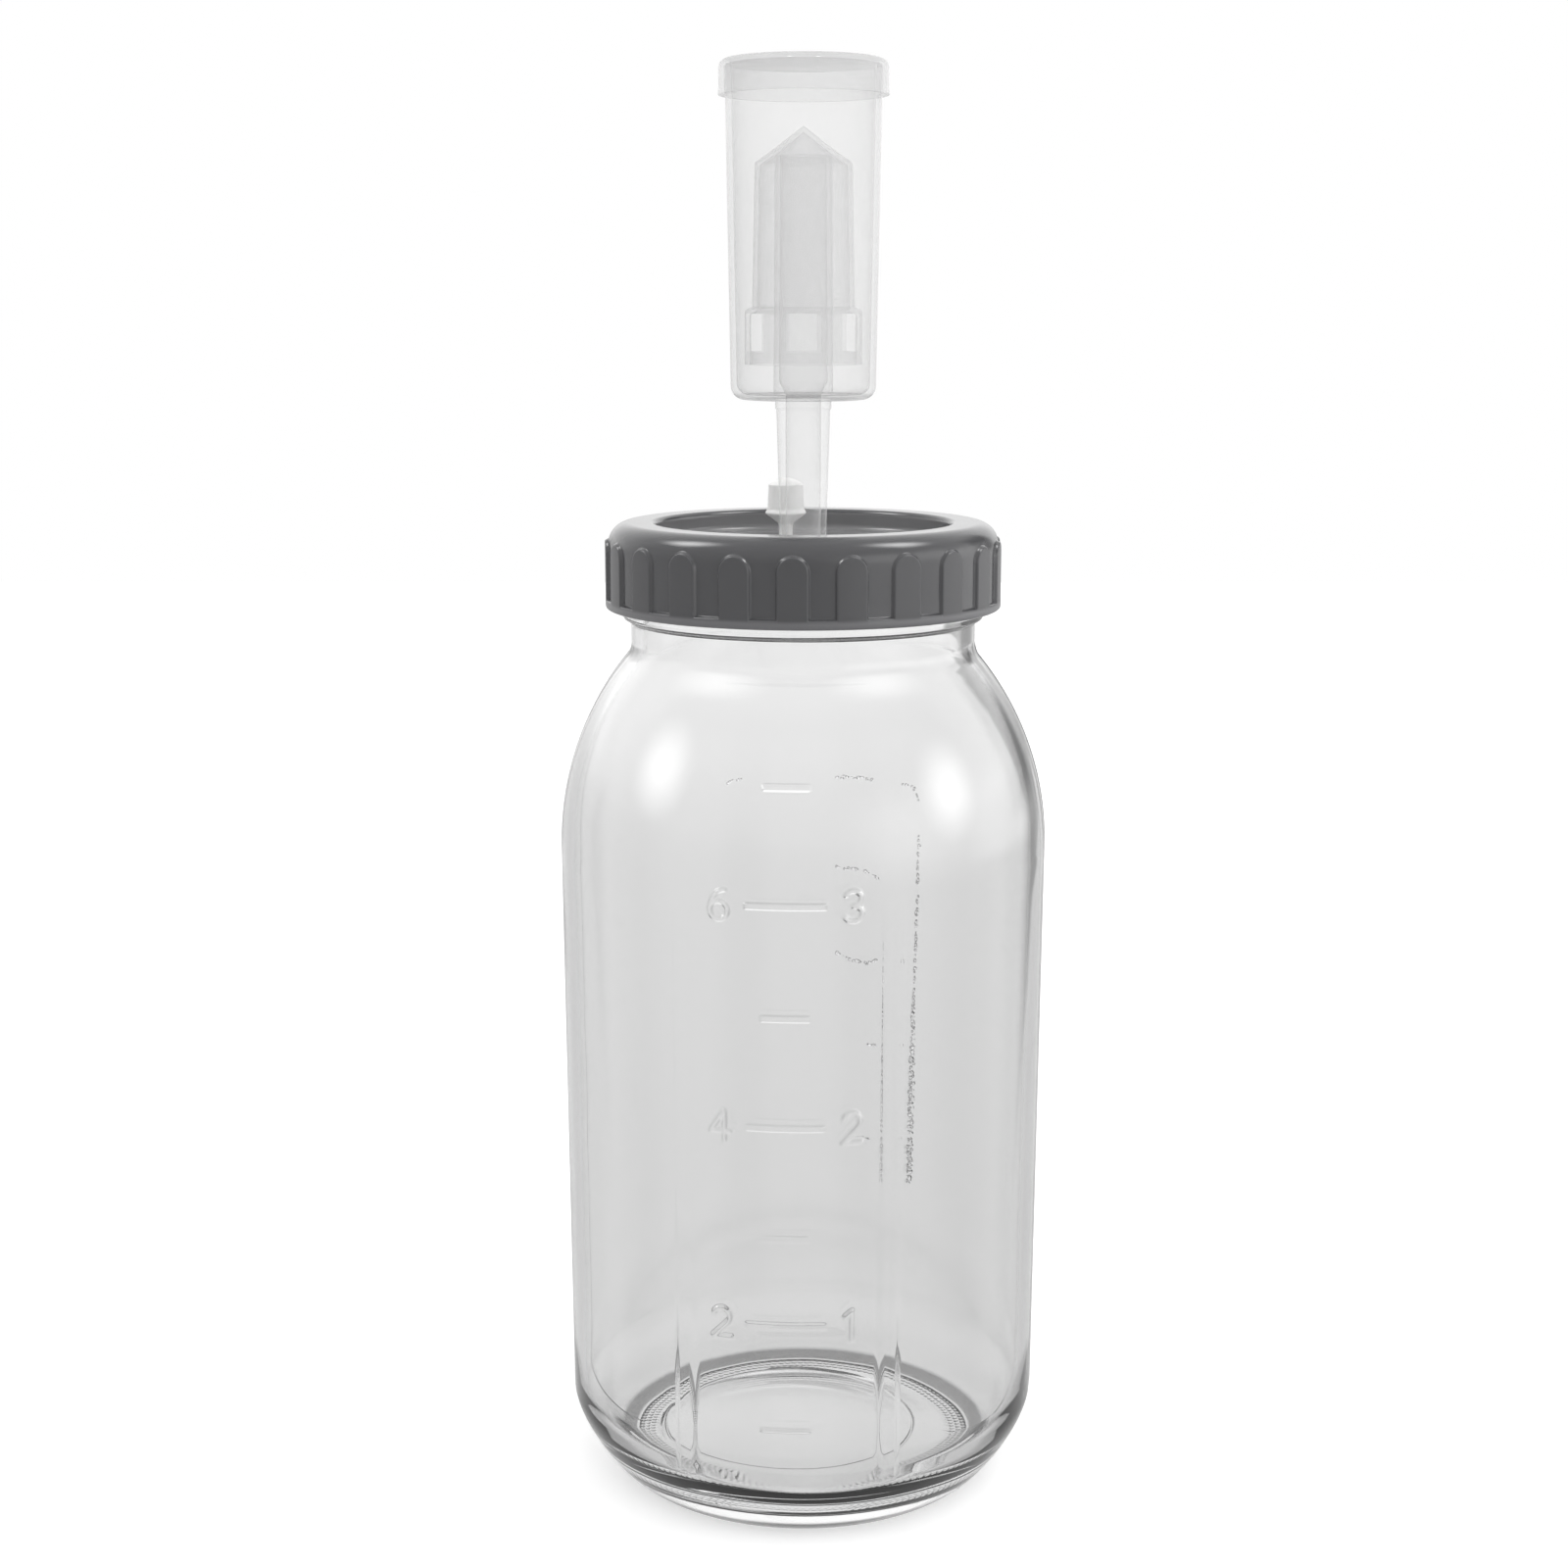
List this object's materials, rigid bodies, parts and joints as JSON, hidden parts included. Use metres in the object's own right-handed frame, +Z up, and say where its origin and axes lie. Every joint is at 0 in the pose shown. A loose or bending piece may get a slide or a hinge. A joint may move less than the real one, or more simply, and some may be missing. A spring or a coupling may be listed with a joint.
{
  "type": "fermentation jar with airlock",
  "caption": "Wide-mouth glass jar with a ribbed screw lid, a three-piece water airlock in a grommet and a small vent plug, for fermenting food.",
  "frame": {"origin": "centre of the jar's bearing ring, on the surface it stands on", "axes": "+Z up along the jar's axis; -Y is the front, with the vent plug behind the airlock; +X to the right"},
  "size_m": [0.1168, 0.1168, 0.3411],
  "materials": {
    "glass": "clear moulded soda-lime glass",
    "lid_plastic": "grey moulded polypropylene, semi-gloss",
    "airlock_plastic": "natural translucent polypropylene",
    "silicone": "translucent white silicone rubber"
  },
  "bodies": {
    "jar": {"jar": "glass"},
    "seal": {"lid_gasket": "silicone"},
    "screw_lid": {"lid": "lid_plastic", "airlock_grommet": "silicone"},
    "airlock": {"airlock_body": "airlock_plastic"},
    "float": {"airlock_float": "airlock_plastic"},
    "cap": {"airlock_cap": "airlock_plastic"},
    "plug": {"vent_plug": "silicone"}
  },
  "joints": [
    {"name": "lid_rise", "type": "slide", "parent": "jar", "child": "seal", "axis": [0, 0, 1], "range_m": [0, 0.0064]},
    {"name": "lid_turn", "type": "hinge", "parent": "seal", "child": "screw_lid", "pos_m": [0, 0, 0.2333], "axis": [0, 0, 1], "range_deg": [0, 450]},
    {"name": "airlock_pull", "type": "slide", "parent": "screw_lid", "child": "airlock", "axis": [0, 0, 1], "range_m": [0, 0.03]},
    {"name": "float_bob", "type": "slide", "parent": "airlock", "child": "float", "axis": [0, 0, 1], "range_m": [0, 0.012]},
    {"name": "cap_lift", "type": "slide", "parent": "airlock", "child": "cap", "axis": [0, 0, 1], "range_m": [0, 0.015]},
    {"name": "plug_pull", "type": "slide", "parent": "screw_lid", "child": "plug", "axis": [0, 0, 1], "range_m": [0, 0.014]}
  ],
  "couplings": [
    {"joint": "lid_rise", "follows": "lid_turn", "m_per_rad": 0.00080851}
  ]
}
